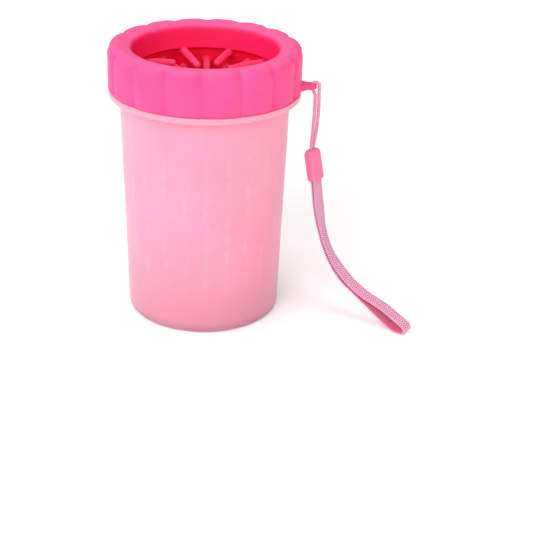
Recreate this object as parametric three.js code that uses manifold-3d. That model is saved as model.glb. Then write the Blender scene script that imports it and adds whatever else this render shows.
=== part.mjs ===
// A paw washer cup: a threaded beaker, a bristled silicone sleeve that hangs in it, a scalloped screw
// ring that holds the sleeve down, and a wrist strap on the ring's eye tab.
// Millimetres, +Z up. The origin is the centre of the base, on the table. The eye tab points to +X.

import * as THREE from 'three';
import { mergeVertices } from 'three/addons/utils/BufferGeometryUtils.js';
import Module from 'manifold-3d';

const wasm = await Module();
wasm.setup();

// ---- Driving dimensions -------------------------------------------------------------------------

const cup = {
  baseRadius: 42.2,
  bodyTopRadius: 45.35,
  flangeBottom: 123.4,
  flangeTop: 126.8,
  flangeRadius: 51.2,
  neckRadius: 44.4,
  rim: 142.6,
  wall: 2,
  floor: 2.5,
  baseEdge: 2.2,
  segments: 72,
};

const ring = {
  bottom: 127.1,
  bottomEdge: 0.6,
  top: 150.9,
  shoulder: 4.6,
  crestRadius: 51.3,
  crownRadius: 45.8,
  boreRadius: 46.9,
  ceiling: 145.4,
  mouthRadius: 38.8,
  mouthTop: 149.1,
  lipRadius: 37.3,
  lip: 137,
  lobes: 16,
  lobeDepth: 1.8,
  valleySharpness: 2.2,
  valleyRun: 2.2,
  valleyAngle: THREE.MathUtils.degToRad(-1.2),
  segments: 80,
};

const thread = {
  lead: 5,
  height: 1.8,
  rootHalf: 1,
  tipHalf: 0.45,
  embed: 0.4,
  cupTurns: 1.25,
  cupStart: 131.5,
  ringTurns: 1,
  stepsPerTurn: 24,
};

const tab = {
  rootX: 48.5,
  rootHalf: 7,
  rootStep: new THREE.Vector2(1.7, 0.4),
  neckStart: 3,
  neckEnd: 5.5,
  half: 4.1,
  thickness: 2.4,
  barX: 58.85,
  barHalf: 0.75,
  eyeRadius: 1.35,
  middle: 128.3,
  bevel: 0.5,
  grooveRadius: 1.5,
  grooveDepth: 0.7,
};

const sleeve = {
  bottom: 12,
  bottomRadius: 39.4,
  topRadius: 41.9,
  wall: 1.6,
  flangeBottom: 142.9,
  flangeTop: 144.9,
  flangeRadius: 44.2,
  segments: 72,
};

const bristle = {
  columns: 20,
  perColumn: 11,
  firstRow: 135.3,
  rowPitch: 5.1,
  rootRadius: 1.85,
  tipRadius: 1.55,
  tipDistance: 12.5,
  sides: 6,
};

const spine = {
  gap: 0.3,
  thickness: 1,
  halfWidth: 1.75,
  overrun: 1.65,
};

// The strap hangs from the bar at the tab's outer end, in an upright plane turned towards the front.
const strap = {
  heading: THREE.MathUtils.degToRad(-37.5),
  cordDiameter: 1.9,
  cordSides: 8,
  cordSteps: 60,
  bandWidth: 8.2,
  bandThickness: 1,
  bandSteps: 72,
};

const clip = {
  top: new THREE.Vector2(-0.4, 92.2),
  bottom: new THREE.Vector2(3.3, 75.3),
  width: 9.8,
  thickness: 5.2,
  corner: 2.4,
  bevel: 0.9,
};

// The cord's route: X from the tab's bar, Y, and height. It goes up the inner side of the bar through
// the eye, over the bar, and down the outer side.
const cordRoute = [
  [-0.8, -0.75, 92.65],
  [-0.6, -0.6, 97.5],
  [-0.35, -0.4, 103],
  [-0.05, -0.2, 109],
  [0.08, 0, 115],
  [0.15, 0, 120],
  [0.05, 0, 122.7],
  [-0.75, 0, 125],
  [-1.6, 0, 126.4],
  [-1.95, 0, 127.8],
  [-1.65, 0, 129.7],
  [0, 0, 130.3],
  [1.65, 0, 129.7],
  [1.95, 0, 127.9],
  [2.05, 0, 124.5],
  [2.2, 0, 120.5],
  [2.25, 0, 115],
  [2.05, 0.2, 109],
  [1.65, 0.45, 103],
  [1, 0.75, 97.5],
  [0.4, 0.9, 92.75],
];

// The webbing's route in the strap's plane: distance from the bar's axis, and height. It goes down the
// outer layer, round the fold, along the table and up the inner layer.
const bandRoute = [
  [4.05, 75.2],
  [5.05, 68.5],
  [6, 62.6],
  [7.15, 56.8],
  [8.4, 51],
  [10.05, 45.4],
  [12.25, 39.9],
  [15.15, 34.5],
  [18.95, 29.5],
  [23.55, 25],
  [28.75, 20.9],
  [34.55, 17.5],
  [40.55, 15],
  [45.55, 13.5],
  [51.05, 11.9],
  [55.55, 10.1],
  [60.05, 7.9],
  [63.55, 6.3],
  [66.35, 4.7],
  [67.35, 2.8],
  [66.45, 1.1],
  [64.55, 0.75],
  [61.55, 0.8],
  [57.85, 1.9],
  [52.85, 4.6],
  [48.05, 7.4],
  [43.85, 9.9],
  [39.55, 12.4],
  [33.75, 15.8],
  [27.85, 19.1],
  [22.15, 23.6],
  [17.75, 28.4],
  [13.85, 33.5],
  [10.85, 39.3],
  [8.7, 44.9],
  [7, 50.6],
  [5.75, 56.5],
  [4.6, 62.4],
  [3.65, 68.2],
  [2.65, 74.9],
];

// ---- Materials ----------------------------------------------------------------------------------

const material = (color, roughness) => new THREE.MeshStandardMaterial({ color, roughness, metalness: 0 });

const cupPlastic = material(0xfbb4ce, 0.35);
const sleeveSilicone = material(0xe0123f, 0.5);
const bristleSilicone = material(0xff4682, 0.5);
const ringSilicone = material(0xff5c9c, 0.45);
const cordFibre = material(0xf58cb8, 0.85);
const clipPlastic = material(0xff74a4, 0.35);
const bandFibre = material(0xf396be, 0.9);

// ---- Solid helpers ------------------------------------------------------------------------------

// A closed manifold solid from a three.js geometry. Triangles that shrink to a line at a pole go.
function toSolid(geometry) {
  const bare = geometry.clone();
  bare.deleteAttribute('normal');
  bare.deleteAttribute('uv');
  const merged = mergeVertices(bare, 1e-4);
  const corners = merged.index.array;
  const kept = [];
  for (let i = 0; i < corners.length; i += 3) {
    const [a, b, c] = corners.slice(i, i + 3);
    if (a !== b && b !== c && c !== a) kept.push(a, b, c);
  }
  return new wasm.Manifold(new wasm.Mesh({
    numProp: 3,
    vertProperties: new Float32Array(merged.attributes.position.array),
    triVerts: new Uint32Array(kept),
  }));
}

function toGeometry(solid) {
  const { vertProperties, triVerts } = solid.getMesh();
  const geometry = new THREE.BufferGeometry();
  geometry.setAttribute('position', new THREE.BufferAttribute(vertProperties, 3));
  geometry.setIndex(new THREE.BufferAttribute(triVerts, 1));
  geometry.computeVertexNormals();
  return geometry;
}

// Turns a closed [radius, height] outline about Z. The outline runs up its outer side.
function turned(outline, segments) {
  const points = outline.map(([radius, height]) => new THREE.Vector2(radius, height));
  return new THREE.LatheGeometry([...points, points[0]], segments).rotateX(Math.PI / 2);
}

function named(name, geometry, meshMaterial) {
  const mesh = new THREE.Mesh(geometry, meshMaterial);
  mesh.name = name;
  return mesh;
}

const between = THREE.MathUtils.mapLinear;

// ---- Screw thread -------------------------------------------------------------------------------

// A right-hand helix about Z whose frames keep the section's X pointing away from the axis.
class Helix extends THREE.Curve {
  constructor(radius, start, turns) {
    super();
    this.radius = radius;
    this.start = start;
    this.turns = turns;
  }

  getPoint(t, target = new THREE.Vector3()) {
    const angle = 2 * Math.PI * this.turns * t;
    const height = this.start + thread.lead * this.turns * t;
    return target.set(this.radius * Math.cos(angle), this.radius * Math.sin(angle), height);
  }

  computeFrenetFrames(steps) {
    const frames = { tangents: [], normals: [], binormals: [] };
    for (let i = 0; i <= steps; i++) {
      const tangent = this.getTangentAt(i / steps);
      const outward = this.getPointAt(i / steps).setZ(0).normalize();
      frames.tangents.push(tangent);
      frames.normals.push(outward);
      frames.binormals.push(tangent.clone().cross(outward));
    }
    return frames;
  }
}

// A ridge that stands outward (side = 1) or inward (side = -1) from a wall of that radius.
function threadRidge(radius, start, turns, side) {
  const section = new THREE.Shape();
  section.moveTo(-side * thread.embed, -thread.rootHalf);
  section.lineTo(side * thread.height, -thread.tipHalf);
  section.lineTo(side * thread.height, thread.tipHalf);
  section.lineTo(-side * thread.embed, thread.rootHalf);
  section.closePath();
  return new THREE.ExtrudeGeometry(section, {
    steps: Math.round(turns * thread.stepsPerTurn),
    extrudePath: new Helix(radius, start, turns),
  });
}

// ---- Cup ----------------------------------------------------------------------------------------

function cupBody() {
  const edge = cup.baseEdge;
  const neckBore = cup.neckRadius - cup.wall;
  const outline = [
    [0, 0],
    [cup.baseRadius - edge, 0],
    [cup.baseRadius - 0.3 * edge, 0.3 * edge],
    [cup.baseRadius, edge],
    [cup.bodyTopRadius, cup.flangeBottom],
    [cup.flangeRadius - 1, cup.flangeBottom],
    [cup.flangeRadius, cup.flangeBottom + 1],
    [cup.flangeRadius, cup.flangeTop],
    [cup.neckRadius, cup.flangeTop],
    [cup.neckRadius, cup.rim],
    [neckBore, cup.rim],
    [neckBore, cup.flangeTop],
    [cup.bodyTopRadius - cup.wall, cup.flangeBottom],
    [cup.baseRadius - cup.wall, cup.floor + 1.5],
    [cup.baseRadius - cup.wall - 1.5, cup.floor],
    [0, cup.floor],
  ];
  const points = outline.map(([radius, height]) => new THREE.Vector2(radius, height));
  const beaker = toSolid(new THREE.LatheGeometry(points, cup.segments).rotateX(Math.PI / 2));
  const ridge = threadRidge(cup.neckRadius, thread.cupStart, thread.cupTurns, 1);
  return beaker.add(toSolid(ridge));
}

// ---- Brush sleeve and its bristles --------------------------------------------------------------

const sleeveOuter = (height) =>
  between(height, sleeve.bottom, sleeve.flangeBottom, sleeve.bottomRadius, sleeve.topRadius);
const sleeveBore = (height) => sleeveOuter(height) - sleeve.wall;

function brushSleeve() {
  return turned([
    [sleeveBore(sleeve.bottom), sleeve.bottom],
    [sleeve.bottomRadius, sleeve.bottom],
    [sleeve.topRadius, sleeve.flangeBottom],
    [sleeve.flangeRadius, sleeve.flangeBottom],
    [sleeve.flangeRadius, sleeve.flangeTop],
    [sleeveBore(sleeve.flangeBottom), sleeve.flangeTop],
    [sleeveBore(sleeve.flangeBottom), sleeve.flangeBottom],
  ], sleeve.segments);
}

// One upright column along +X: a thin strip beside the sleeve's bore, and its radial bristles.
function bristleColumn(topHeight) {
  const rows = [];
  for (let i = 0; i < bristle.perColumn; i++) rows.push(topHeight - 2 * bristle.rowPitch * i);
  const lowest = rows.at(-1) - spine.overrun;
  const highest = topHeight + spine.overrun;
  const back = (height) => sleeveBore(height) - spine.gap;
  const side = new THREE.Shape([
    new THREE.Vector2(back(lowest) - spine.thickness, lowest),
    new THREE.Vector2(back(lowest), lowest),
    new THREE.Vector2(back(highest), highest),
    new THREE.Vector2(back(highest) - spine.thickness, highest),
  ]);
  const strip = new THREE.ExtrudeGeometry(side, { depth: 2 * spine.halfWidth, bevelEnabled: false });
  strip.rotateX(Math.PI / 2).translate(0, spine.halfWidth, 0);
  let column = toSolid(strip);
  for (const height of rows) {
    const root = back(height) - spine.thickness / 2;
    const length = root - bristle.tipDistance;
    const finger = new THREE.CylinderGeometry(
      bristle.tipRadius, bristle.rootRadius, length, bristle.sides);
    finger.rotateZ(Math.PI / 2).translate((root + bristle.tipDistance) / 2, 0, height);
    column = column.add(toSolid(finger));
  }
  return toGeometry(column);
}

function bristleColumns() {
  const geometries = [
    bristleColumn(bristle.firstRow),
    bristleColumn(bristle.firstRow - bristle.rowPitch),
  ];
  const group = new THREE.Group();
  for (let i = 0; i < bristle.columns; i++) {
    const name = `bristle_column_${String(i + 1).padStart(2, '0')}`;
    const column = named(name, geometries[i % 2], bristleSilicone);
    column.rotation.z = 2 * Math.PI * i / bristle.columns;
    group.add(column);
  }
  return group;
}

// ---- Screw ring ---------------------------------------------------------------------------------

// Cuts the valleys between the lobes into the outer side and, less and less, over the rounded shoulder.
function scallop(geometry) {
  const position = geometry.attributes.position;
  const shoulderRadius = ring.crestRadius - ring.shoulder;
  const shoulderHeight = ring.top - ring.shoulder;
  for (let i = 0; i < position.count; i++) {
    const x = position.getX(i);
    const y = position.getY(i);
    const z = position.getZ(i);
    const radius = Math.hypot(x, y);
    const phase = (Math.atan2(y, x) - ring.valleyAngle) * ring.lobes / 2;
    const valley = (1 - Math.abs(Math.sin(phase))) ** ring.valleySharpness;
    const above = Math.max(0, z - shoulderHeight);
    const beyond = above > 0 ? Math.max(0, radius - shoulderRadius) : 1;
    const inner = above > 0 ? shoulderRadius - ring.valleyRun : ring.boreRadius;
    const outer = above > 0 ? ring.crestRadius : ring.crestRadius - ring.bottomEdge;
    const share = THREE.MathUtils.smoothstep(radius, inner, outer);
    const cut = new THREE.Vector2(beyond, above).setLength(ring.lobeDepth * valley * share);
    const scale = 1 - cut.x / radius;
    position.setXYZ(i, x * scale, y * scale, z - cut.y);
  }
  return geometry;
}

// A flat lug with an eye near its round end. The bar beyond the eye has a groove for the cord above and
// below, so the cord can turn round it.
function eyeTab() {
  const eyeX = tab.barX - tab.barHalf - tab.eyeRadius;
  const endX = tab.barX + tab.barHalf - tab.half;
  const stepX = tab.rootX + tab.rootStep.x;
  const stepY = tab.rootHalf - tab.rootStep.y;
  const neckX = tab.rootX + tab.neckStart;
  const sideX = tab.rootX + tab.neckEnd;
  const outline = new THREE.Shape();
  outline.moveTo(tab.rootX, -tab.rootHalf);
  outline.lineTo(stepX, -stepY);
  outline.quadraticCurveTo(neckX, -tab.half, sideX, -tab.half);
  outline.absarc(endX, 0, tab.half, -Math.PI / 2, Math.PI / 2, false);
  outline.lineTo(sideX, tab.half);
  outline.quadraticCurveTo(neckX, tab.half, stepX, stepY);
  outline.lineTo(tab.rootX, tab.rootHalf);
  outline.closePath();
  outline.holes.push(new THREE.Path().absarc(eyeX, 0, tab.eyeRadius, 0, 2 * Math.PI, true));
  const depth = tab.thickness - 2 * tab.bevel;
  const plate = new THREE.ExtrudeGeometry(outline, {
    depth,
    curveSegments: 6,
    bevelThickness: tab.bevel,
    bevelSize: tab.bevel,
    bevelOffset: -tab.bevel,
    bevelSegments: 1,
  });
  plate.translate(0, 0, tab.middle - depth / 2);
  let lug = toSolid(plate);
  for (const side of [1, -1]) {
    const away = tab.thickness / 2 - tab.grooveDepth + tab.grooveRadius;
    const groove = new THREE.CylinderGeometry(tab.grooveRadius, tab.grooveRadius, 4 * tab.barHalf, 16);
    groove.rotateZ(Math.PI / 2).translate(tab.barX, 0, tab.middle + side * away);
    lug = lug.subtract(toSolid(groove));
  }
  return lug;
}

function screwRing() {
  const crest = ring.crestRadius;
  const shoulder = [];
  for (let i = 0; i <= 4; i++) {
    const angle = Math.PI / 8 * i;
    shoulder.push([
      crest - ring.shoulder * (1 - Math.cos(angle)),
      ring.top - ring.shoulder * (1 - Math.sin(angle)),
    ]);
  }
  const shell = toSolid(scallop(turned([
    [ring.boreRadius, ring.bottom],
    [crest - ring.bottomEdge, ring.bottom],
    [crest, ring.bottom + ring.bottomEdge],
    ...shoulder,
    [ring.crownRadius, ring.top],
    [ring.mouthRadius + 2.2, ring.mouthTop + 0.5],
    [ring.mouthRadius + 0.9, ring.mouthTop - 0.2],
    [ring.mouthRadius, ring.mouthTop - 1.8],
    [ring.lipRadius, ring.lip + 0.5],
    [ring.lipRadius + 0.4, ring.lip],
    [ring.lipRadius + 1.2, ring.lip + 0.5],
    [ring.mouthRadius + 0.8, ring.ceiling],
    [ring.boreRadius, ring.ceiling],
  ], ring.segments)));
  const ridgeStart = thread.cupStart - thread.lead / 2;
  const ridge = toSolid(threadRidge(ring.boreRadius, ridgeStart, thread.ringTurns, -1));
  return shell.add(ridge).add(eyeTab());
}

// ---- Wrist strap --------------------------------------------------------------------------------

function strapCord() {
  const route = new THREE.CatmullRomCurve3(
    cordRoute.map(([x, y, z]) => new THREE.Vector3(tab.barX + x, y, z)), false, 'centripetal');
  const section = new THREE.Shape();
  for (let i = 0; i < strap.cordSides; i++) {
    const angle = 2 * Math.PI * i / strap.cordSides;
    const x = strap.cordDiameter / 2 * Math.cos(angle);
    const y = strap.cordDiameter / 2 * Math.sin(angle);
    if (i === 0) section.moveTo(x, y);
    else section.lineTo(x, y);
  }
  section.closePath();
  return new THREE.ExtrudeGeometry(section, { steps: strap.cordSteps, extrudePath: route });
}

// Stands a shape drawn in (distance from the bar, height) upright, centred on the strap's plane.
function uprightInPlane(shape, width) {
  const geometry = new THREE.ExtrudeGeometry(shape, { depth: width, bevelEnabled: false });
  return geometry.rotateX(Math.PI / 2).translate(0, width / 2, 0);
}

function strapWebbing() {
  const route = new THREE.SplineCurve(bandRoute.map(([u, z]) => new THREE.Vector2(u, z)));
  const left = [];
  const right = [];
  for (let i = 0; i <= strap.bandSteps; i++) {
    const point = route.getPointAt(i / strap.bandSteps);
    const tangent = route.getTangentAt(i / strap.bandSteps);
    const offset = new THREE.Vector2(-tangent.y, tangent.x).multiplyScalar(strap.bandThickness / 2);
    left.push(point.clone().add(offset));
    right.unshift(point.clone().sub(offset));
  }
  return uprightInPlane(new THREE.Shape([...left, ...right]), strap.bandWidth);
}

// A rounded block whose long side runs from the clip's top to its bottom in the strap's plane.
function strapClip() {
  const length = clip.top.distanceTo(clip.bottom);
  const halfWidth = clip.width / 2;
  const halfLength = length / 2;
  const r = clip.corner;
  const face = new THREE.Shape();
  face.absarc(halfWidth - r, halfLength - r, r, 0, Math.PI / 2, false);
  face.absarc(r - halfWidth, halfLength - r, r, Math.PI / 2, Math.PI, false);
  face.absarc(r - halfWidth, r - halfLength, r, Math.PI, 1.5 * Math.PI, false);
  face.absarc(halfWidth - r, r - halfLength, r, 1.5 * Math.PI, 2 * Math.PI, false);
  const depth = clip.thickness - 2 * clip.bevel;
  const block = new THREE.ExtrudeGeometry(face, {
    depth,
    curveSegments: 4,
    bevelThickness: clip.bevel,
    bevelSize: clip.bevel,
    bevelOffset: -clip.bevel,
    bevelSegments: 2,
  });
  const lean = Math.atan2(clip.bottom.x - clip.top.x, clip.top.y - clip.bottom.y);
  block.translate(0, 0, -depth / 2).rotateX(Math.PI / 2).rotateZ(Math.PI / 2).rotateY(-lean);
  const middle = clip.top.clone().add(clip.bottom).multiplyScalar(0.5);
  return block.translate(middle.x, 0, middle.y);
}

// ---- Assembly -----------------------------------------------------------------------------------

const washer = new THREE.Group();
washer.add(named('cup_body', toGeometry(cupBody()), cupPlastic));
washer.add(named('brush_sleeve', brushSleeve(), sleeveSilicone));
washer.add(bristleColumns());
washer.add(named('screw_ring', toGeometry(screwRing()), ringSilicone));
washer.add(named('strap_cord', strapCord(), cordFibre));

const strapPlane = new THREE.Group();
strapPlane.position.x = tab.barX;
strapPlane.rotation.z = strap.heading;
strapPlane.add(named('strap_clip', strapClip(), clipPlastic));
strapPlane.add(named('strap_webbing', strapWebbing(), bandFibre));
washer.add(strapPlane);

export default washer;
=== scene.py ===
"""The looks of the paw washer cup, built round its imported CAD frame.

Sizes here are in millimetres unless a comment says otherwise. Every mesh is written in metres, in the
frame's axes.
"""

import math
import random

import bpy
import numpy as np
from mathutils import Matrix, Vector


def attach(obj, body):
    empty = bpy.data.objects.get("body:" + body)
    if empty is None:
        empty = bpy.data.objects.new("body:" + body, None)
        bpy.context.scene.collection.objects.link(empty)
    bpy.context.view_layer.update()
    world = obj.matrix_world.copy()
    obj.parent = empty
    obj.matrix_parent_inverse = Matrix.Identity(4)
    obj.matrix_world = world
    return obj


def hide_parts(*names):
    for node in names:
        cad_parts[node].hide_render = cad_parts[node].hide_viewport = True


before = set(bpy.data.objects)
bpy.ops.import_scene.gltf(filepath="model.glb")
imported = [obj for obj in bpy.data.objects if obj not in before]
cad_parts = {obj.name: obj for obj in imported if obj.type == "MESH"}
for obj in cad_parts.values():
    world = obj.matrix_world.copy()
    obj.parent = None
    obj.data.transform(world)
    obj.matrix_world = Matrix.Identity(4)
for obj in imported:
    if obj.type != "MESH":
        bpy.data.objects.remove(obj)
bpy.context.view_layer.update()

MM = 0.001
TAU = 2 * math.pi

# ---- Sizes shared with the CAD source ------------------------------------------------------------

CUP_BASE_R, CUP_TOP_R = 42.2, 45.35
FLANGE_LOW, FLANGE_HIGH, FLANGE_R = 123.4, 126.8, 51.2
NECK_R, CUP_RIM, CUP_WALL, CUP_FLOOR = 44.4, 142.6, 2.0, 2.5
RECESS_R, RECESS_DEPTH = 36.6, 0.7

RING_LOW, RING_HIGH, RING_R, RING_BORE = 127.1, 150.9, 51.3, 46.9
RING_CEILING, MOUTH_R, LIP_R, LIP_LOW = 145.4, 38.8, 37.3, 137.0
SHOULDER, LOW_EDGE_FILLET, CROWN_R, MOUTH_TOP = 4.6, 0.9, 45.8, 149.0
LOBES, LOBE_DEPTH, VALLEY_ANGLE, VALLEY_SHARPNESS = 16, 1.6, math.radians(-1.2), 2.6
# The radius on the ring's top where its valleys begin, and how much deeper they are over its shoulder.
VALLEY_START_R, SHOULDER_EXTRA_DEPTH = 44.3, 1.2

THREAD_LEAD, THREAD_HEIGHT, CUP_THREAD_LOW, CUP_THREAD_TURNS = 5.0, 1.8, 131.5, 1.25

TAB_ROOT_X, TAB_ROOT_HALF, TAB_HALF, TAB_THICKNESS, TAB_MIDDLE = 48.5, 6.8, 4.1, 2.4, 128.3
BAR_X, BAR_HALF, EYE_R = 58.85, 0.75, 1.35
EYE_X = BAR_X - BAR_HALF - EYE_R
GROOVE_R, GROOVE_DEPTH = 1.5, 0.7
# How much thicker the tab is where it meets the ring.
TAB_ROOT_SWELL = 0.45

SLEEVE_LOW, SLEEVE_LOW_R, SLEEVE_TOP_R, SLEEVE_WALL = 12.0, 39.4, 41.9, 1.6
SLEEVE_FLANGE_LOW, SLEEVE_FLANGE_HIGH, SLEEVE_FLANGE_R = 142.9, 144.9, 44.2

BRISTLE_COLUMNS, BRISTLES_PER_COLUMN = 20, 11
BRISTLE_FIRST_ROW, BRISTLE_ROW_PITCH, BRISTLE_TIP_R = 135.3, 5.1, 12.5

STRAP_HEADING = math.radians(-37.5)
CORD_D, BAND_WIDTH, BAND_THICKNESS = 1.9, 8.2, 0.9
CLIP_TOP, CLIP_BOTTOM, CLIP_WIDTH, CLIP_THICKNESS = (-0.4, 92.2), (3.3, 75.3), 10.1, 5.5

# The cord's route: X from the tab's bar, Y, and height. The points are part.mjs's,
# apart from the first and the last, which are only here and continue the cord into the clip.
CORD_ROUTE = [
    (-0.6, -0.75, 90.4),
    (-0.8, -0.75, 92.65), (-0.6, -0.6, 97.5), (-0.35, -0.4, 103), (-0.05, -0.2, 109),
    (0.08, 0, 115), (0.15, 0, 120), (0.05, 0, 122.7), (-0.75, 0, 125), (-1.6, 0, 126.4),
    (-1.95, 0, 127.8), (-1.65, 0, 129.7), (0, 0, 130.3), (1.65, 0, 129.7), (1.95, 0, 127.9),
    (2.05, 0, 124.5), (2.2, 0, 120.5), (2.25, 0, 115), (2.05, 0.2, 109), (1.65, 0.45, 103),
    (1, 0.75, 97.5), (0.4, 0.9, 92.75),
    (0.5, 0.8, 90.4),
]

# The webbing's route in the strap's upright plane: distance from the bar's axis, and height. The points
# are part.mjs's, apart from the first and the last, which are only here and are inside the clip.
BAND_ROUTE = [
    (3.1, 81.2), (4.05, 75.2), (5.05, 68.5), (6, 62.6), (7.15, 56.8), (8.4, 51), (10.05, 45.4),
    (12.25, 39.9), (15.15, 34.5), (18.95, 29.5), (23.55, 25), (28.75, 20.9), (34.55, 17.5),
    (40.55, 15), (45.55, 13.5), (51.05, 11.9), (55.55, 10.1), (60.05, 7.9), (63.55, 6.3),
    (66.35, 4.7), (67.35, 2.8), (66.45, 1.1), (64.55, 0.75), (61.55, 0.8), (57.85, 1.9),
    (52.85, 4.6), (48.05, 7.4), (43.85, 9.9), (39.55, 12.4), (33.75, 15.8), (27.85, 19.1),
    (22.15, 23.6), (17.75, 28.4), (13.85, 33.5), (10.85, 39.3), (8.7, 44.9), (7, 50.6),
    (5.75, 56.5), (4.6, 62.4), (3.65, 68.2), (2.65, 74.9), (2.3, 77.2),
]

# ---- Sizes of the finer detail -------------------------------------------------------------------

BRAID_PITCH, BRAID_DEPTH, BRAID_STRANDS = 1.6, 0.06, 4
RIB_PITCH, RIB_DEPTH, WARP_PITCH = 1.3, 0.22, 0.7
# The zigzag's half width, and how many ribs it shifts by in a millimetre.
ZIGZAG_WIDTH, ZIGZAG_SLOPE = 1.6, 0.35
# How far the webbing turns about its own line between the clip and the loop, and the heights between
# which the turn comes and goes.
BAND_TWIST, TWIST_HEIGHTS = math.radians(-11), (24, 36, 44, 60)
# The columns of pads on the sleeve's outer side, which show through the cup.
MARK_COLUMNS, MARK_OFFSET, MARK_STRENGTH = 24, math.radians(2), 0.13
# Heights in metres over which the marks begin and end, up to which painted shade darkens the cup's wall
# towards its foot, and up to which a painted contact shadow darkens it further.
MARKS_FADE_IN, MARKS_FADE_OUT = (0.020, 0.034), (0.110, 0.094)
FOOT_SHADE_TOP, CONTACT_SHADOW_TOP = 0.055, 0.007
# The heights, in metres, over which the webbing's two layers part, and over which the painted shade inside
# the loop fades in.
LOOP_SHADE_HEIGHTS = 0.034, 0.018
# Added to the UV across the webbing on the side that faces into the loop, which is where the painted shade
# goes.
BAND_BACK = 140 * WARP_PITCH

# ---- Materials -----------------------------------------------------------------------------------


class Finish:
    """A Principled material, with short helpers for the nodes behind its colour, roughness and bump."""

    def __init__(self, name, roughness=0.5, **values):
        self.material = bpy.data.materials.new(name)
        self.material.use_nodes = True
        self.nodes = self.material.node_tree.nodes
        self.links = self.material.node_tree.links
        self.shader = self.nodes["Principled BSDF"]
        self.shader.inputs["Roughness"].default_value = roughness
        for socket, value in values.items():
            self.shader.inputs[socket.replace("_", " ")].default_value = value
        self.place = self.nodes.new("ShaderNodeTexCoord").outputs["Object"]

    def node(self, kind, inputs, output=0, **settings):
        node = self.nodes.new(kind)
        for key, value in settings.items():
            setattr(node, key, value)
        for key, value in inputs.items():
            if isinstance(value, bpy.types.NodeSocket):
                self.links.new(value, node.inputs[key])
            else:
                node.inputs[key].default_value = value
        return node.outputs[output]

    def math(self, operation, a, b=0.0, c=0.0):
        return self.node("ShaderNodeMath", {0: a, 1: b, 2: c}, operation=operation)

    def noise(self, scale, detail):
        """Grey clouds from 0 to 1; scale is their number in a metre."""
        return self.node("ShaderNodeTexNoise", {"Vector": self.place, "Scale": scale, "Detail": detail})

    def span(self, value, low, high, to_low=0.0, to_high=1.0):
        """Runs smoothly from to_low to to_high as the value goes from low to high."""
        inputs = {"Value": value, "From Min": low, "From Max": high, "To Min": to_low, "To Max": to_high}
        return self.node("ShaderNodeMapRange", inputs, clamp=True, interpolation_type="SMOOTHSTEP")

    def mix(self, share, a, b):
        inputs = {0: share, 6: a, 7: b}
        return self.node("ShaderNodeMix", inputs, output=2, data_type="RGBA")

    def xyz(self, place=None):
        node = self.nodes.new("ShaderNodeSeparateXYZ")
        self.links.new(place or self.place, node.inputs[0])
        return node.outputs

    def color(self, value):
        self.links.new(value, self.shader.inputs["Base Color"])

    def rough(self, value):
        self.links.new(value, self.shader.inputs["Roughness"])

    def bump(self, *layers):
        """Each layer is (height from 0 to 1, depth in mm)."""
        normal = None
        for height, depth in layers:
            inputs = {"Height": height, "Distance": depth * MM, "Strength": 1.0}
            if normal is not None:
                inputs["Normal"] = normal
            normal = self.node("ShaderNodeBump", inputs)
        self.links.new(normal, self.shader.inputs["Normal"])


def soft_rubber(name, light, dark, roughness, grain=0.02, throat_shade=None):
    """Soft-touch silicone: cloudy colour, a fine moulded grain and a faint ripple.

    The throat colour is painted shade: a deeper red painted on the ring inside its mouth, where the
    wall's radius is under the rim's, standing in for the shade and red bounce light there. With it, the
    ring's top is painted a little duller than its side, a painted sheen."""
    finish = Finish(name, roughness, Subsurface_Weight=0.25, Subsurface_Scale=0.003,
                    Specular_IOR_Level=0.16)
    finish.shader.inputs["Subsurface Radius"].default_value = (1.0, 0.35, 0.5)
    clouds = finish.span(finish.noise(45, 4), 0.35, 0.65)
    color = finish.mix(clouds, dark, light)
    if throat_shade:
        x, y, z = finish.xyz()
        # Painted sheen: the ring's top is painted duller and paler than its side.
        top = finish.span(z, (RING_HIGH - 3.5) * MM, (RING_HIGH - 0.3) * MM)
        color = finish.mix(top, color, RING_TOP_SHEEN)
        radius = finish.math("SQRT", finish.math("MULTIPLY_ADD", x, x, finish.math("MULTIPLY", y, y)))
        # Painted shade: inside the mouth the colour turns to the deeper throat colour.
        mouth_shade = finish.span(radius, (MOUTH_R + 1.4) * MM, (MOUTH_R - 0.6) * MM)
        color = finish.mix(mouth_shade, color, throat_shade)
    finish.color(color)
    finish.rough(finish.span(finish.noise(300, 3), 0.3, 0.7, roughness - 0.05, roughness + 0.07))
    finish.bump((finish.noise(2600, 2), grain), (finish.noise(60, 2), 0.12))
    return finish


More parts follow.
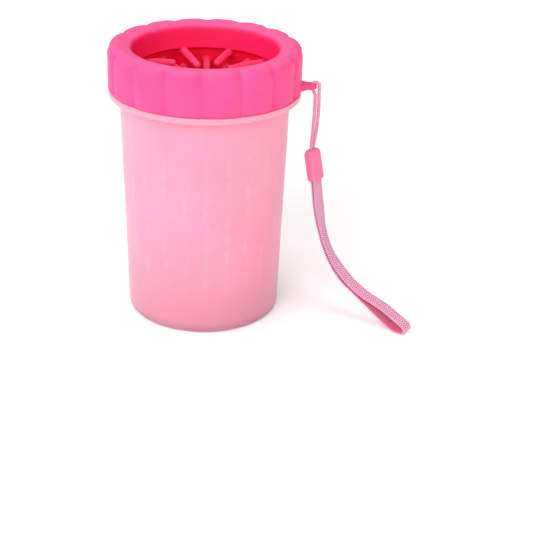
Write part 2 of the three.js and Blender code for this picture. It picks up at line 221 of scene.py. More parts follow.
def cup_plastic():
    """Milky moulded plastic, with the pads of the sleeve inside showing through it as pale marks."""
    finish = Finish("cup_plastic", 0.36, Subsurface_Weight=0.45, Subsurface_Scale=0.004,
                    Sheen_Weight=0.12, Sheen_Roughness=0.5)
    finish.shader.inputs["Subsurface Radius"].default_value = (1.0, 0.4, 0.5)
    x, y, z = finish.xyz()
    turn = finish.math("DIVIDE", finish.math("ARCTAN2", y, x), TAU / MARK_COLUMNS)
    turn = finish.math("SUBTRACT", turn, MARK_OFFSET * MARK_COLUMNS / TAU)
    column = finish.math("ROUND", turn)
    across = finish.math("SUBTRACT", turn, column)
    odd = finish.math("PINGPONG", column, 1.0)
    pitch = 2 * BRISTLE_ROW_PITCH * MM
    shifted = finish.math("MULTIPLY_ADD", odd, 0.5, finish.math("DIVIDE", z, pitch))
    row = finish.math("ROUND", shifted)
    along = finish.math("SUBTRACT", shifted, row)
    cell = finish.node("ShaderNodeCombineXYZ", {0: column, 1: row})
    luck = finish.node("ShaderNodeTexWhiteNoise", {"Vector": cell}, output="Value")
    stray = finish.math("MULTIPLY_ADD", finish.math("SUBTRACT", luck, 0.5), 0.22, across)
    side = finish.math("ABSOLUTE", stray)
    reach = finish.math("ADD", finish.math("POWER", finish.math("DIVIDE", side, 0.11), 2.0),
                        finish.math("POWER", finish.math("DIVIDE", along, 0.46), 2.0))
    wobble = finish.math("SUBTRACT", finish.noise(380, 4), 0.5)
    pad = finish.span(finish.math("MULTIPLY_ADD", wobble, 4.5, reach), 1.8, -0.4)
    pad = finish.math("MULTIPLY", pad, finish.span(luck, 0.0, 1.0, 0.25, 1.0))
    band = finish.math("MULTIPLY", finish.span(z, *MARKS_FADE_IN), finish.span(z, *MARKS_FADE_OUT))
    pad = finish.math("MULTIPLY", pad, band)
    clouds = finish.span(finish.noise(26, 4), 0.3, 0.7)
    base = finish.mix(clouds, CUP_DEEP, CUP_PALE)
    # Painted shade: the wall is painted darker towards the bottom.
    base = finish.mix(finish.span(z, FOOT_SHADE_TOP, 0.0, 0.0, 0.9), base, CUP_FOOT_SHADE)
    # Painted contact shadow: the last few millimetres above the table are painted darker still.
    base = finish.mix(finish.span(z, CONTACT_SHADOW_TOP, 0.0, 0.0, 0.8), base, CUP_CONTACT_SHADOW)
    finish.color(finish.mix(finish.math("MULTIPLY", pad, MARK_STRENGTH), base, CUP_MARK))
    finish.rough(finish.span(finish.noise(420, 3), 0.3, 0.7, 0.31, 0.42))
    finish.bump((finish.noise(1800, 2), 0.008), (pad, 0.015))
    return finish


# Linear colours.
CUP_DEEP, CUP_PALE, CUP_MARK = (0.95, 0.295, 0.42, 1), (0.97, 0.325, 0.46, 1), (1.0, 0.62, 0.74, 1)
# Painted shade: the wall is painted darker towards its foot, and a painted contact shadow darkens its
# last few millimetres above the table.
CUP_FOOT_SHADE, CUP_CONTACT_SHADOW = (0.67, 0.24, 0.34, 1), (0.42, 0.17, 0.23, 1)
# Painted sheen: the ring's top colour stands in for the soft sheen it catches from above.
RING_TOP_SHEEN = (0.88, 0.105, 0.3, 1)
# Painted shade: the deep red inside the ring's mouth stands in for the shade and red bounce light there.
THROAT_SHADE = (0.97, 0.015, 0.112, 1)
# A lighter and a darker colour each, which the material's clouds run between.
RING = (1.0, 0.088, 0.29, 1), (0.99, 0.076, 0.262, 1)
SLEEVE = (0.90, 0.004, 0.055, 1), (0.86, 0.003, 0.04, 1)
BRISTLE = (0.98, 0.065, 0.2, 1), (0.95, 0.05, 0.165, 1)
CLIP = (0.93, 0.22, 0.39, 1), (0.9, 0.2, 0.365, 1)
# Painted shade: the cord's darkest colour is painted where its braid dips between the yarns.
CORD_GAP_SHADE, CORD_YARN, CORD_FLUFF = (0.56, 0.15, 0.27, 1), (0.86, 0.35, 0.49, 1), (0.88, 0.45, 0.57, 1)
# Painted shade: the band's darkest colour is painted in the grooves between its ribs.
BAND_GROOVE_SHADE, BAND_RIB, BAND_FLUFF = (0.36, 0.14, 0.22, 1), (1.0, 0.44, 0.66, 1), (1.0, 0.56, 0.74, 1)
# Painted shade: the redder, darker colour inside the loop stands in for the shade and red bounce light
# there.
BAND_LOOP_SHADE = (0.8, 0.1, 0.22, 1)

ring_finish = soft_rubber("ring_silicone", *RING, 0.44, throat_shade=THROAT_SHADE)
sleeve_finish = soft_rubber("sleeve_silicone", *SLEEVE, 0.6)
bristle_finish = soft_rubber("bristle_silicone", *BRISTLE, 0.45)
cup_finish = cup_plastic()
clip_finish = soft_rubber("clip_plastic", *CLIP, 0.38, grain=0.01)


def cord_fibre():
    """Braided cord. Its UV runs along the cord in millimetres, and round it from 0 to 1."""
    finish = Finish("cord_fibre", 0.8, Sheen_Weight=0.2, Sheen_Roughness=0.5)
    u, v, _ = finish.xyz(finish.node("ShaderNodeUVMap", {}, uv_map="weave"))
    ways = []
    for way in (1, -1):
        phase = finish.math("MULTIPLY_ADD", v, BRAID_STRANDS * way, finish.math("DIVIDE", u, BRAID_PITCH))
        ways.append(finish.math("ABSOLUTE", finish.math("SINE", finish.math("MULTIPLY", phase, math.pi))))
    yarn = finish.math("MULTIPLY", ways[0], ways[1])
    # Painted shade: the colour darkens where the braid dips between its yarns.
    color = finish.mix(finish.span(yarn, 0.0, 0.5), CORD_GAP_SHADE, CORD_YARN)
    finish.color(finish.mix(finish.span(finish.noise(900, 3), 0.45, 0.85), color, CORD_FLUFF))
    finish.bump((yarn, 0.08), (finish.noise(5000, 2), 0.03))
    return finish


def band_fibre():
    """Cross-ribbed webbing with a zigzag in its ribs, with painted shade in its grooves and a redder
    painted shade inside the loop at its end.

    Its UV runs along the band and across it, both in millimetres."""
    finish = Finish("band_fibre", 0.85, Sheen_Weight=0.2, Sheen_Roughness=0.5)
    u, v, _ = finish.xyz(finish.node("ShaderNodeUVMap", {}, uv_map="weave"))
    # Painted shade: the side facing into the loop is painted redder and darker towards the loop's end.
    inside = finish.math("GREATER_THAN", v, BAND_BACK / 2)
    low = finish.span(finish.xyz()[2], *LOOP_SHADE_HEIGHTS)
    inside = finish.math("MULTIPLY", inside, low)
    zigzag = finish.math("PINGPONG", v, ZIGZAG_WIDTH)
    ribs = finish.math("DIVIDE", u, RIB_PITCH)
    phase = finish.math("FRACT", finish.math("MULTIPLY_ADD", zigzag, ZIGZAG_SLOPE, ribs))
    rib = finish.math("SINE", finish.math("MULTIPLY", phase, math.pi))
    warp = finish.math("SINE", finish.math("MULTIPLY", v, TAU / WARP_PITCH))
    warp = finish.math("MULTIPLY_ADD", warp, 0.5, 0.5)
    weave = finish.math("MULTIPLY", finish.span(rib, 0.25, 0.7), finish.span(warp, 0.0, 1.0, 0.75, 1.0))
    # Painted shade: the grooves between the ribs and warp threads are painted darker.
    color = finish.mix(weave, BAND_GROOVE_SHADE, BAND_RIB)
    color = finish.mix(finish.span(finish.noise(1500, 3), 0.5, 0.9), color, BAND_FLUFF)
    finish.color(finish.mix(finish.math("MULTIPLY", inside, 0.6), color, BAND_LOOP_SHADE))
    finish.bump((warp, 0.06), (finish.noise(6000, 2), 0.04))
    return finish


# ---- Mesh helpers --------------------------------------------------------------------------------


class Shape:
    """Vertices in mm and faces, gathered part by part."""

    def __init__(self):
        self.verts = []
        self.faces = []
        self.uvs = {}

    def grid(self, rows, close_rows=False, cap=False, uv=None):
        """Joins closed rows of points with quads. cap closes an open tube with one face at each end."""
        count, width = len(rows), len(rows[0])
        start = len(self.verts)
        self.verts.extend(tuple(p) for row in rows for p in row)
        for i in range(count if close_rows else count - 1):
            for j in range(width):
                a, b = start + i * width + j, start + i * width + (j + 1) % width
                step = ((i + 1) % count - i) * width
                if uv is not None:
                    self.uvs[len(self.faces)] = uv(i, j)
                self.faces.append((a, b, b + step, a + step))
        if cap:
            self.faces.append(tuple(start + j for j in reversed(range(width))))
            self.faces.append(tuple(start + (count - 1) * width + j for j in range(width)))

    def build(self, name, finish, body, *nodes, slot=None):
        """Makes the object, which rides on body and stands for these CAD nodes."""
        mesh = bpy.data.meshes.new(name)
        mesh.from_pydata([(x * MM, y * MM, z * MM) for x, y, z in self.verts], [], self.faces)
        if self.uvs:
            layer = mesh.uv_layers.new(name="weave")
            for index, corners in self.uvs.items():
                for loop, corner in zip(mesh.polygons[index].loop_indices, corners):
                    layer.data[loop].uv = corner
        mesh.polygons.foreach_set("use_smooth", [True] * len(mesh.polygons))
        mesh.materials.append(finish.material)
        mesh.validate()
        mesh.update()
        obj = bpy.data.objects.new(name, mesh)
        bpy.context.scene.collection.objects.link(obj)
        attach(obj, body)
        if nodes:
            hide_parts(*nodes)
        return obj


def rounded(corners, steps=5, closed=False):
    """Turns (radius, height, fillet) corners into an outline with arcs."""
    count = len(corners)
    outline = []
    for i, (r, z, fillet) in enumerate(corners):
        if fillet == 0 or (not closed and i in (0, count - 1)):
            outline.append((r, z))
            continue
        here = np.array((r, z))
        before = np.array(corners[i - 1][:2]) - here
        after = np.array(corners[(i + 1) % count][:2]) - here
        before, after = before / np.linalg.norm(before), after / np.linalg.norm(after)
        half = math.acos(float(np.clip(before @ after, -1, 1))) / 2
        centre = here + (before + after) / np.linalg.norm(before + after) * fillet / math.sin(half)
        reach = fillet / math.tan(half)
        start, end = here + before * reach - centre, here + after * reach - centre
        first = math.atan2(start[1], start[0])
        sweep = (math.atan2(end[1], end[0]) - first + math.pi) % TAU - math.pi
        for k in range(steps + 1):
            angle = first + sweep * k / steps
            outline.append(tuple(centre + fillet * np.array((math.cos(angle), math.sin(angle)))))
    return outline


def spread(outline, longest, closed=False):
    """Adds points so that no step of the outline is longer than that."""
    points = list(outline) + ([outline[0]] if closed else [])
    result = []
    for (r0, z0), (r1, z1) in zip(points, points[1:]):
        cuts = max(1, math.ceil(math.hypot(r1 - r0, z1 - z0) / longest))
        result += [(r0 + (r1 - r0) * k / cuts, z0 + (z1 - z0) * k / cuts) for k in range(cuts)]
    return result if closed else result + [points[-1]]


def outward(outline, closed):
    """The unit normal at each point of an outline that runs up its outer side."""
    points = np.array(outline)
    if closed:
        along = np.roll(points, -1, axis=0) - np.roll(points, 1, axis=0)
    else:
        along = np.gradient(points, axis=0)
    normals = np.stack([along[:, 1], -along[:, 0]], axis=1)
    return normals / np.linalg.norm(normals, axis=1)[:, None]


def turned(shape, outline, segments, closed=True, pull=None):
    """Turns an outline about Z.

    pull(radius, height, angle) gives how far a point moves in along its normal."""
    angles = [TAU * k / segments for k in range(segments)]
    rows = []
    for (r, z), (out, up) in zip(outline, outward(outline, closed)):
        row = []
        for a in angles:
            depth = pull(r, z, a) if pull else 0
            radius = r - depth * out
            row.append((radius * math.cos(a), radius * math.sin(a), z - depth * up))
        rows.append(row)
    shape.grid(rows, close_rows=closed)


def smoothstep(value, low, high):
    t = min(1.0, max(0.0, (value - low) / (high - low)))
    return t * t * (3 - 2 * t)


def smooth_route(points, step):
    """A centripetal Catmull-Rom curve through the points, as points about a step apart."""
    p = np.array(points, float)
    p = np.vstack([2 * p[0] - p[1], p, 2 * p[-1] - p[-2]])
    dense = []
    for i in range(1, len(p) - 2):
        p0, p1, p2, p3 = p[i - 1 : i + 3]
        t1 = np.linalg.norm(p1 - p0) ** 0.5
        t2 = t1 + np.linalg.norm(p2 - p1) ** 0.5
        t3 = t2 + np.linalg.norm(p3 - p2) ** 0.5
        for t in np.linspace(t1, t2, 24, endpoint=False):
            a1 = (t1 - t) / t1 * p0 + t / t1 * p1
            a2 = (t2 - t) / (t2 - t1) * p1 + (t - t1) / (t2 - t1) * p2
            a3 = (t3 - t) / (t3 - t2) * p2 + (t - t2) / (t3 - t2) * p3
            b1 = (t2 - t) / t2 * a1 + t / t2 * a2
            b2 = (t3 - t) / (t3 - t1) * a2 + (t - t1) / (t3 - t1) * a3
            dense.append((t2 - t) / (t2 - t1) * b1 + (t - t1) / (t2 - t1) * b2)
    dense = np.array(dense + [p[-2]])
    run = np.concatenate([[0], np.cumsum(np.linalg.norm(np.diff(dense, axis=0), axis=1))])
    count = max(2, round(run[-1] / step) + 1)
    at = np.linspace(0, run[-1], count)
    return np.stack([np.interp(at, run, dense[:, k]) for k in range(dense.shape[1])], axis=1), run[-1]


# ---- Camera, light and floor ---------------------------------------------------------------------


CAMERA_PITCH, CAMERA_YAW, CAMERA_ROLL = 0.471, 0.066, 0.038
CAMERA_PLACE, CAMERA_LENS, CAMERA_SENSOR = (0, -0.62365, 0.33279), 79.62, 36


def add_camera():
    pitch, yaw, roll = CAMERA_PITCH, CAMERA_YAW, CAMERA_ROLL
    forward = Vector((math.sin(yaw) * math.cos(pitch), math.cos(yaw) * math.cos(pitch), -math.sin(pitch)))
    level = Vector((math.cos(yaw), -math.sin(yaw), 0))
    upright = level.cross(forward)
    right = math.cos(roll) * level + math.sin(roll) * upright
    up = math.cos(roll) * upright - math.sin(roll) * level
    data = bpy.data.cameras.new("camera")
    data.sensor_width = CAMERA_SENSOR
    data.lens = CAMERA_LENS
    data.clip_start, data.clip_end = 0.05, 20
    camera = bpy.data.objects.new("camera", data)
    bpy.context.scene.collection.objects.link(camera)
    turn = Matrix((right, up, -forward)).transposed().to_4x4()
    camera.matrix_world = Matrix.Translation(CAMERA_PLACE) @ turn
    bpy.context.scene.camera = camera


def add_light(name, place, target, size, power, color=(1, 1, 1)):
    data = bpy.data.lights.new(name, "AREA")
    data.shape = "DISK"
    data.size = size
    data.energy = power
    data.color = color
    lamp = bpy.data.objects.new(name, data)
    lamp.location = place
    lamp.rotation_mode = "QUATERNION"
    lamp.rotation_quaternion = (Vector(target) - Vector(place)).to_track_quat("-Z", "Y")
    bpy.context.scene.collection.objects.link(lamp)


def add_stage():
    """A plain pale floor that glows a little further out, and the studio's lights."""
    half = 8.0
    mesh = bpy.data.meshes.new("floor")
    corners = [(-half, -half, 0), (half, -half, 0), (half, half, 0), (-half, half, 0)]
    mesh.from_pydata(corners, [], [(0, 1, 2, 3)])
    finish = Finish("floor", 0.9, Specular_IOR_Level=0.1)
    finish.shader.inputs["Emission Color"].default_value = (1, 1, 1, 1)
    radius = finish.node("ShaderNodeVectorMath", {0: finish.place}, output="Value", operation="LENGTH")
    near, far = finish.span(radius, 0.25, 0.7, 0.17, 0.6), finish.span(radius, 1.0, 6.0, 1.0, 0.35)
    glow = finish.math("MULTIPLY", near, far)
    finish.links.new(glow, finish.shader.inputs["Emission Strength"])
    finish.color(finish.mix(finish.noise(3, 2), (0.93, 0.93, 0.93, 1), (0.95, 0.95, 0.95, 1)))
    mesh.materials.append(finish.material)
    floor = bpy.data.objects.new("floor", mesh)
    bpy.context.scene.collection.objects.link(floor)
    add_world()
    bpy.context.scene.view_settings.view_transform = "Standard"
    add_light("key", (-0.27, -0.64, 0.66), (0, 0, 0.08), 0.8, 4.8)
    add_light("side", (-0.75, -0.1, 0.42), (0, 0, 0.08), 0.5, 0.85)
    add_light("fill", (0.6, -0.42, 0.5), (0.04, 0, 0.13), 0.5, 1.2, (1.0, 0.88, 0.9))
    add_light("top", (0.0, 0.1, 1.15), (0, 0, 0.1), 0.6, 2.7)


def add_world():
    """A white surround that is brighter on the left and above than on the right."""
    world = bpy.data.worlds.new("studio")
    world.use_nodes = True
    nodes, links = world.node_tree.nodes, world.node_tree.links
    place = nodes.new("ShaderNodeTexCoord").outputs["Generated"]
    facing = nodes.new("ShaderNodeVectorMath")
    facing.operation = "DOT_PRODUCT"
    links.new(place, facing.inputs[0])
    facing.inputs[1].default_value = (-0.8, -0.2, 0.56)
    strength = nodes.new("ShaderNodeMapRange")
    links.new(facing.outputs["Value"], strength.inputs["Value"])
    for name, value in {"From Min": -1, "From Max": 1, "To Min": 0.08, "To Max": 0.68}.items():
        strength.inputs[name].default_value = value
    links.new(strength.outputs["Result"], nodes["Background"].inputs["Strength"])
    nodes["Background"].inputs["Color"].default_value = (1, 1, 1, 1)
    bpy.context.scene.world = world


add_camera()
add_stage()

# ---- Strap ---------------------------------------------------------------------------------------


def in_strap_plane(u, v, z):
    """A point at distance u from the bar's axis, v across the strap and height z, in the row's frame."""
    c, s = math.cos(STRAP_HEADING), math.sin(STRAP_HEADING)
    return (BAR_X + u * c - v * s, u * s + v * c, z)


def tube_frames(route):
    """A tangent and two sides for each point of a route, turned as little as possible along it."""
    tangents = np.gradient(route, axis=0)
    tangents /= np.linalg.norm(tangents, axis=1)[:, None]
    side = np.cross(tangents[0], (0, 1, 0))
    frames = []
    for t in tangents:
        side = side - (side @ t) * t
        side /= np.linalg.norm(side)
        frames.append((t, side, np.cross(t, side)))
    return frames


def braid_uv(step, sides):
    def uv(i, j):
        return [(i * step, j / sides), (i * step, (j + 1) / sides),
                ((i + 1) * step, (j + 1) / sides), ((i + 1) * step, j / sides)]

    return uv


def build_cord():
    """The braided cord, as a tube whose skin dips between its yarns."""
    route, length = smooth_route([(BAR_X + x, y, z) for x, y, z in CORD_ROUTE], 0.25)
    step = length / (len(route) - 1)
    sides = 16
    rows = []
    for i, (point, (_, side, other)) in enumerate(zip(route, tube_frames(route))):
        row = []
        for j in range(sides):
            v = j / sides
            turns, strand = i * step / BRAID_PITCH, BRAID_STRANDS * v
            yarn = abs(math.sin(math.pi * (turns + strand)) * math.sin(math.pi * (turns - strand)))
            radius = CORD_D / 2 - BRAID_DEPTH * (1 - yarn)
            row.append(point + radius * (math.cos(TAU * v) * side + math.sin(TAU * v) * other))
        rows.append(row)
    shape = Shape()
    shape.grid(rows, cap=True, uv=braid_uv(step, sides))
    cord = shape.build("strap_cord_loop", cord_fibre(), "strap", "strap_cord", slot="cord_fibre")
    path = [tuple(p * MM) for p in route[::4]]
    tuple(path[0])
    return cord


def band_twist(height, share):
    """How far the webbing is turned about its own line at that height, in radians."""
    none_below, full_from, full_to, none_above = TWIST_HEIGHTS
    come, go = smoothstep(height, none_below, full_from), smoothstep(-height, -none_above, -full_to)
    turn = BAND_TWIST * come * go
    return turn if share < 0.5 else -turn


def build_band(clip):
    """The webbing, as a flat ribbed strip swept along its folded route."""
    flat, length = smooth_route(BAND_ROUTE, 0.18)
    step = length / (len(flat) - 1)
    half_w, half_t = BAND_WIDTH / 2, BAND_THICKNESS / 2
    face = [-half_w + 0.35, -2.6, -1.3, 0, 1.3, 2.6, half_w - 0.35]
    edge = [(half_w - 0.06, -0.5), (half_w, 0), (half_w - 0.06, 0.5)]
    section = [(v, -1) for v in face] + edge + [(v, 1) for v in reversed(face)]
    section += [(-v, -n) for v, n in edge]
    tangents = np.gradient(flat, axis=0)
    tangents /= np.linalg.norm(tangents, axis=1)[:, None]
    rows = []
    for i, ((u, z), (tu, tz)) in enumerate(zip(flat, tangents)):
        phase = (i * step / RIB_PITCH) % 1.0
        groove = RIB_DEPTH * (1 - math.sin(math.pi * phase) ** 0.6)
        twist = band_twist(z, i / len(flat))
        c, s = math.cos(twist), math.sin(twist)
        row = []
        for v, n in section:
            if abs(v) < half_w - 0.3:
                n *= half_t - groove
            else:
                n *= half_t
                v -= math.copysign(0.7 * groove, v)
            v, n = v * c - n * s, v * s + n * c
            row.append(in_strap_plane(u - tz * n, v, z + tu * n))
        rows.append(row)
    around = [p[0] for p in section]

    def uv(i, j):
        back = BAND_BACK if section[j][1] + section[(j + 1) % len(section)][1] < -1.5 else 0
        a, b = around[j] + back, around[(j + 1) % len(around)] + back
        return [(i * step, a), (i * step, b), ((i + 1) * step, b), ((i + 1) * step, a)]

    shape = Shape()
    shape.grid(rows, cap=True, uv=uv)
    band = shape.build("strap_band", band_fibre(), "strap", "strap_webbing", slot="band_fibre")
    path = [tuple(c * MM for c in in_strap_plane(u, 0, z)) for u, z in flat[::6]]
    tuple(path[0])
    return band


def build_clip():
    """A rounded block with a domed top, a cord hole in it, and a webbing slot in its foot."""
    top, bottom = np.array(CLIP_TOP), np.array(CLIP_BOTTOM)
    length = float(np.linalg.norm(top - bottom))
    axis = (bottom - top) / length
    normal = np.array((-axis[1], axis[0]))
    w, t = CLIP_WIDTH / 2, CLIP_THICKNESS / 2
    # Sections from the hole's floor, over the dome, down the sides and up into the slot: how far along,
    # half width, half thickness, and how square.
    profile = [
        (1.8, 0.8, 0.4, 2.2), (1.8, 2.0, 1.05, 2.2), (0.5, 2.05, 1.1, 2.2), (0.05, 2.2, 1.2, 2.3),
        (-0.2, 2.5, 1.4, 2.5), (-0.2, 3.0, 1.65, 2.8), (-0.05, 3.6, 1.95, 3.2), (0.25, 4.1, 2.18, 3.8),
        (0.7, 4.5, 2.38, 4.4), (1.3, 4.74, 2.5, 4.9), (2.1, w - 0.04, t - 0.03, 5.2), (3.2, w, t, 5.4),
    ]
    profile += [(length * share, w, t, 5.4) for share in (0.3, 0.42, 0.54, 0.66, 0.78)]
    profile += [
        (length - 1.6, w, t, 5.4), (length - 0.8, w - 0.08, t - 0.06, 5.4),
        (length - 0.3, w - 0.26, t - 0.2, 5.2), (length, w - 0.55, t - 0.45, 5),
        (length, w - 0.7, 1.35, 5), (length - 0.25, w - 0.8, 1.2, 5),
        (length - 1.6, w - 0.8, 1.2, 5), (length - 1.6, 2.0, 0.5, 3),
    ]
    count = 64
    rows = []
    for along, half_w, half_t, square in profile:
        row = []
        for j in range(count):
            c, s = math.cos(TAU * j / count), math.sin(TAU * j / count)
            v = half_w * math.copysign(abs(c) ** (2 / square), c)
            n = half_t * math.copysign(abs(s) ** (2 / square), s)
            u, z = top + axis * along + normal * n
            row.append(in_strap_plane(u, v, z))
        rows.append(row)
    shape = Shape()
    shape.grid(rows, cap=True)
    return shape.build("strap_toggle", clip_finish, "strap", "strap_clip", slot="clip_plastic")


build_cord()
build_band(build_clip())

# ---- Screw ring ----------------------------------------------------------------------------------


def thread_ridge(shape, radius, start, turns, side):
    """A trapezium ridge on a helix, which tapers away at both ends."""
    steps = round(turns * 96)
    rows = []
    for i in range(steps + 1):
        t = i / steps
        a = TAU * turns * t
        z = start + THREAD_LEAD * turns * t
        fade = min(1.0, smoothstep(t, -0.001, 0.06), smoothstep(1 - t, -0.001, 0.06))
        rise = side * THREAD_HEIGHT * fade
        section = [(-side * 0.4, -1.0), (rise * 0.85, -0.55), (rise, -0.3), (rise, 0.3),
                   (rise * 0.85, 0.55), (-side * 0.4, 1.0)]
        rows.append([((radius + r) * math.cos(a), (radius + r) * math.sin(a), z + dz) for r, dz in section])
    if side > 0:
        rows = [row[::-1] for row in rows]
    shape.grid(rows, cap=True)


def lobe_pull(r, z, angle):
    """How deep the valley between two lobes is there, along the surface's normal."""
    phase = abs(math.sin((angle - VALLEY_ANGLE) * LOBES / 2))
    blunt = 0.06
    soft = (math.hypot(phase, blunt) - blunt) / (math.hypot(1, blunt) - blunt)
    if z > RING_HIGH - SHOULDER:
        share = smoothstep(r, VALLEY_START_R, RING_R - 0.1)
    elif z > RING_LOW + LOW_EDGE_FILLET:
        share = 1.0 if r > RING_BORE + 1.5 else 0.0
    else:
        share = smoothstep(r, RING_BORE + 1.0, RING_R) if z > RING_LOW + 0.02 else 0.0
    depth = LOBE_DEPTH + SHOULDER_EXTRA_DEPTH * smoothstep(z, RING_HIGH - 7.5, RING_HIGH - 2.5)
    return depth * (1 - soft) ** VALLEY_SHARPNESS * share


def tab_outline():
    """The tab's outline from above, as a closed loop of points."""
    end = BAR_X + BAR_HALF - TAB_HALF
    upper = []
    for k in range(31):
        a = math.pi / 2 * k / 30
        upper.append((end + TAB_HALF * math.cos(a), TAB_HALF * math.sin(a)))
    for k in range(1, 41):
        x = end + (TAB_ROOT_X - end) * k / 40
        flare = (TAB_ROOT_HALF - TAB_HALF) * smoothstep(-x, -(TAB_ROOT_X + 5.2), -TAB_ROOT_X) ** 1.4
        upper.append((x, TAB_HALF + flare))
    return np.array(upper + [(x, -y) for x, y in reversed(upper)])


def grooved(x, y, z):
    """A point of the tab, z from its middle, drawn in where the bar has its groove for the cord."""
    dip = max(0.0, math.sqrt(max(0.0, GROOVE_R**2 - y * y)) - (GROOVE_R - GROOVE_DEPTH))
    dip *= smoothstep(x, BAR_X - BAR_HALF - 0.7, BAR_X - BAR_HALF)
    z *= 1 + TAB_ROOT_SWELL * smoothstep(-x, -(TAB_ROOT_X + 6.5), -(TAB_ROOT_X + 2))
    return (x, y, TAB_MIDDLE + z * (1 - dip / (TAB_THICKNESS / 2)))


def build_tab(shape):
    """The eye tab: its rounded section goes once round the eye, and reaches out to the tab's outline."""
    loop = tab_outline() - (EYE_X, 0)
    count = 128
    half = TAB_THICKNESS / 2
    rows = []
    for k in range(count):
        a = TAU * k / count
        d = np.array((math.cos(a), math.sin(a)))
        reach = 0
        for p, q in zip(loop, np.roll(loop, -1, axis=0)):
            e = q - p
            det = e[0] * d[1] - e[1] * d[0]
            if abs(det) < 1e-9:
                continue
            t = (e[0] * p[1] - e[1] * p[0]) / det
            share = (d[0] * p[1] - d[1] * p[0]) / det
            if t > 0 and -1e-6 <= share <= 1 + 1e-6:
                reach = max(reach, t)
        arcs = rounded([(EYE_R, -half, 0.45), (reach, -half, 0.6), (reach, half, 0.6), (EYE_R, half, 0.45)],
                       steps=4, closed=True)
        row = []
        for i, (r, z) in enumerate(arcs):
            after = arcs[(i + 1) % len(arcs)]
            cuts = (1, 1, 1, 1, 8)[i % 5] if i // 5 in (0, 2) else (1, 1, 1, 1, 3)[i % 5]
            row += [(r + (after[0] - r) * c / cuts, z + (after[1] - z) * c / cuts) for c in range(cuts)]
        rows.append([grooved(EYE_X + r * d[0], r * d[1], z) for r, z in row])
    shape.grid(rows, close_rows=True)


def build_ring():
    """The scalloped ring with its collar, its thread and the eye tab."""
    corners = [
        (RING_BORE, RING_LOW, 0.3), (RING_R, RING_LOW, LOW_EDGE_FILLET), (RING_R, RING_HIGH, SHOULDER),
        (CROWN_R, RING_HIGH, 5.0), (MOUTH_R, MOUTH_TOP, 2.6), (LIP_R, LIP_LOW, 0.5),
        (LIP_R + 1.2, LIP_LOW, 0.4), (MOUTH_R + 0.8, RING_CEILING, 0.3), (RING_BORE, RING_CEILING, 0.3),
    ]
    outline = spread(rounded(corners, steps=8, closed=True), 1.4, closed=True)
    shape = Shape()
    turned(shape, outline, LOBES * 22, pull=lobe_pull)
    thread_ridge(shape, RING_BORE, CUP_THREAD_LOW - THREAD_LEAD / 2, 1.0, -1)
    build_tab(shape)
    return shape.build("ring_shell", ring_finish, "ring", "screw_ring", slot="ring_silicone")


build_ring()

# ---- Cup -----------------------------------------------------------------------------------------


def build_cup():
    """The beaker, turned in one closed skin that ends in a point on the axis outside and inside."""
    inner_top = CUP_TOP_R - CUP_WALL
    corners = [
        (0, RECESS_DEPTH, 0), (RECESS_R - 1.1, RECESS_DEPTH, 0.6), (RECESS_R, 0, 0.5),
        (CUP_BASE_R - 0.05, 0, 2.6),
        (CUP_TOP_R, FLANGE_LOW, 0.7), (FLANGE_R, FLANGE_LOW, 1.1), (FLANGE_R, FLANGE_HIGH, 0.5),
        (NECK_R, FLANGE_HIGH, 0.4), (NECK_R, CUP_RIM, 0.6), (NECK_R - CUP_WALL, CUP_RIM, 0.6),
        (NECK_R - CUP_WALL, FLANGE_HIGH, 1.0), (inner_top, FLANGE_LOW, 1.0),
        (CUP_BASE_R - CUP_WALL, CUP_FLOOR, 2.0), (0, CUP_FLOOR, 0),
    ]
    outline = spread(rounded(corners, steps=6), 4.0)
    shape = Shape()
    middle = outline[1:-1]
    count = 256
    turned(shape, middle, count, closed=False)
    low = len(shape.verts)
    shape.verts.append((0, 0, outline[0][1]))
    shape.verts.append((0, 0, outline[-1][1]))
    last = (len(middle) - 1) * count
    for j in range(count):
        k = (j + 1) % count
        shape.faces.append((low, k, j))
        shape.faces.append((low + 1, last + j, last + k))
    thread_ridge(shape, NECK_R, CUP_THREAD_LOW, CUP_THREAD_TURNS, 1)
    return shape.build("cup_shell", cup_finish, "cup", "cup_body", slot="cup_plastic")


build_cup()

# ---- Brush sleeve and bristles -------------------------------------------------------------------


def sleeve_bore(z):
    share = (z - SLEEVE_LOW) / (SLEEVE_FLANGE_LOW - SLEEVE_LOW)
    return SLEEVE_LOW_R + (SLEEVE_TOP_R - SLEEVE_LOW_R) * share - SLEEVE_WALL


def build_sleeve():
    """The silicone tube that hangs in the cup from a flange."""
    bore_top = SLEEVE_TOP_R - SLEEVE_WALL
    corners = [
        (SLEEVE_LOW_R - SLEEVE_WALL, SLEEVE_LOW, 0.5), (SLEEVE_LOW_R, SLEEVE_LOW, 0.5),
        (SLEEVE_TOP_R, SLEEVE_FLANGE_LOW, 0.2), (SLEEVE_FLANGE_R, SLEEVE_FLANGE_LOW, 0.3),
        (SLEEVE_FLANGE_R, SLEEVE_FLANGE_HIGH, 0.6), (bore_top, SLEEVE_FLANGE_HIGH, 0.9),
    ]
    shape = Shape()
    turned(shape, spread(rounded(corners, closed=True), 6.0, closed=True), 192)
    return shape.build("sleeve_wall", sleeve_finish, "brush", "brush_sleeve", slot="sleeve_silicone")


build_sleeve()


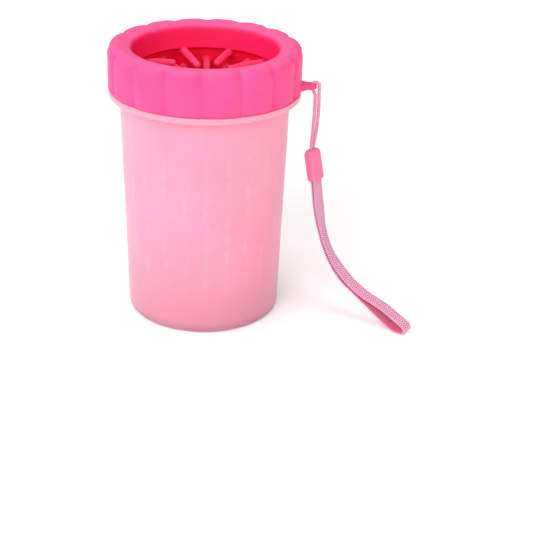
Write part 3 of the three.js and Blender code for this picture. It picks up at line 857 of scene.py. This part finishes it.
def finger(shape, root, tip, droop, azimuth):
    """A tapered bristle with a root fillet. root and tip are (radius from the axis, height, sideways)."""
    root, tip = np.array(root, float), np.array(tip, float)
    length = float(np.linalg.norm(tip - root))
    direction = (tip - root) / length
    # How far along, and the radius there.
    stations = [(0.0, 3.0), (0.4, 2.6), (1.0, 2.3), (2.2, 2.15), (length * 0.35, 2.07),
                (length * 0.65, 1.95), (length - 1.8, 1.82), (length - 0.95, 1.58),
                (length - 0.38, 1.14), (length - 0.08, 0.55)]
    side = np.array((0.0, 0.0, 1.0))
    up = np.cross(side, direction)
    sides = 12
    c, s = math.cos(azimuth), math.sin(azimuth)

    def place(p):
        return (p[0] * c - p[2] * s, p[0] * s + p[2] * c, p[1])

    rows = []
    for along, radius in stations:
        t = along / length
        centre = root + direction * along - np.array((0, 1, 0)) * droop * t * t
        row = []
        for j in range(sides):
            a = TAU * j / sides
            row.append(place(centre + radius * (math.cos(a) * up + math.sin(a) * side)))
        rows.append(row)
    start = len(shape.verts)
    shape.grid(rows)
    peak = len(shape.verts)
    shape.verts.append(place(tip - np.array((0, 1, 0)) * droop))
    last = start + (len(rows) - 1) * sides
    for j in range(sides):
        shape.faces.append((last + j, last + (j + 1) % sides, peak))
    shape.faces.append(tuple(start + j for j in reversed(range(sides))))


# Bristles that stand out at the mouth: column -> (root height, tip radius, tip height, sideways at both).
AT_THE_MOUTH = {
    8: (132.3, 20.0, 136.8, 0, 0),
    6: (135.7, 11.0, 135.4, 0.3, 0.3),
    5: (129.2, 13.0, 129.2, -0.7, -0.8),
    4: (135.2, 16.5, 135.0, -1.3, -0.8),
    2: (133.5, 15.0, 134.7, 0, 0),
}


def build_bristles():
    """Twenty columns of bristles, every second one half a pitch lower, none quite like its neighbour."""
    chance = random.Random(7)
    for i in range(BRISTLE_COLUMNS):
        shape = Shape()
        azimuth = TAU * i / BRISTLE_COLUMNS
        first = BRISTLE_FIRST_ROW - (i % 2) * BRISTLE_ROW_PITCH
        for k in range(BRISTLES_PER_COLUMN):
            z = first - 2 * BRISTLE_ROW_PITCH * k
            tip_r = BRISTLE_TIP_R + chance.uniform(-0.8, 0.8)
            tip_z = z + chance.uniform(-0.9, 0.4)
            aside = chance.uniform(-0.7, 0.7)
            droop = chance.uniform(0.0, 0.8)
            root_aside = 0
            if k == 0 and i in AT_THE_MOUTH:
                z, tip_r, tip_z, root_aside, aside = AT_THE_MOUTH[i]
            finger(shape, (sleeve_bore(z) + 0.2, z, root_aside), (tip_r, tip_z, aside), droop, azimuth)
        name = f"bristles_{i + 1:02d}"
        shape.build(name, bristle_finish, "brush", f"bristle_column_{i + 1:02d}", slot="bristle_silicone")


build_bristles()
